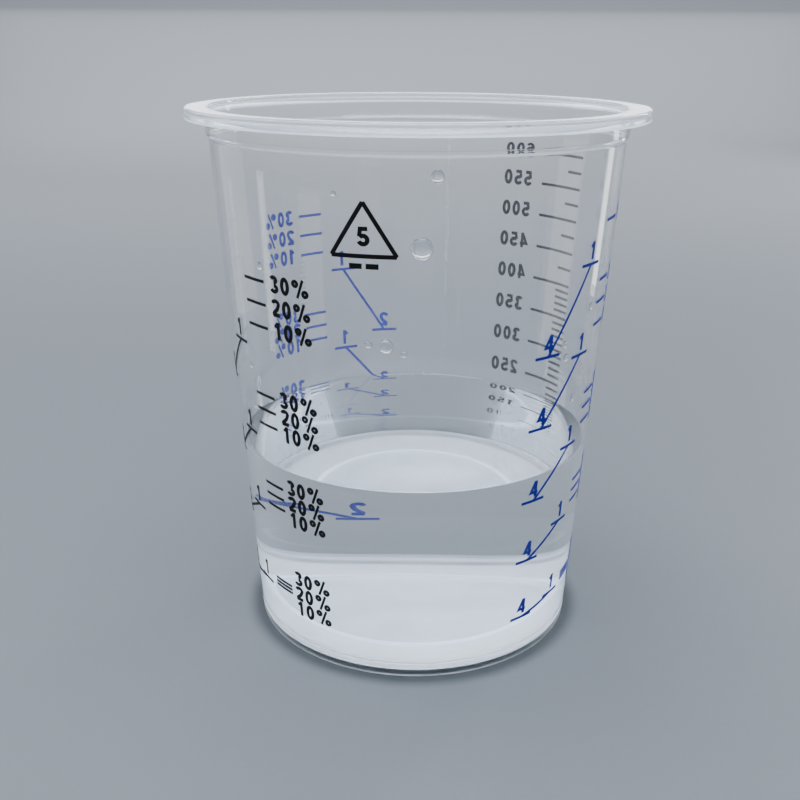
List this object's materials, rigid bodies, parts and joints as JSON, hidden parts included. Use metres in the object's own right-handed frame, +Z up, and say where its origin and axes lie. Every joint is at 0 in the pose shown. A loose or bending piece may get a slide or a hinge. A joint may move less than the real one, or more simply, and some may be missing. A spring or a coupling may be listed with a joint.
{
  "type": "graduated beaker",
  "caption": "Tapered clear plastic beaker with a rolled-out rim, printed millilitre and mixing scales, and a fill of water.",
  "frame": {"origin": "on the cup's axis, at the plane of the table that the foot ring stands on", "axes": "+Z up along the cup's axis, -Y towards the front, which carries the material mark, +X to the right as seen from the front"},
  "size_m": [0.1034, 0.1034, 0.1245],
  "materials": {
    "clear_plastic": "glossy, clear, faintly grey",
    "water": "clear water",
    "black_ink": "satin printed film",
    "blue_ink": "satin printed film"
  },
  "bodies": {
    "root": {"cup": "clear_plastic", "water": "water", "wall_drops": "water", "millilitre_marks": "black_ink", "millilitre_numbers": "black_ink", "black_scale_marks": "black_ink", "black_scale_numbers": "black_ink", "blue_four_to_one_marks": "blue_ink", "blue_four_to_one_numbers": "blue_ink", "blue_two_to_one_marks": "blue_ink", "blue_two_to_one_numbers": "blue_ink", "material_mark": "black_ink"}
  },
  "joints": []
}
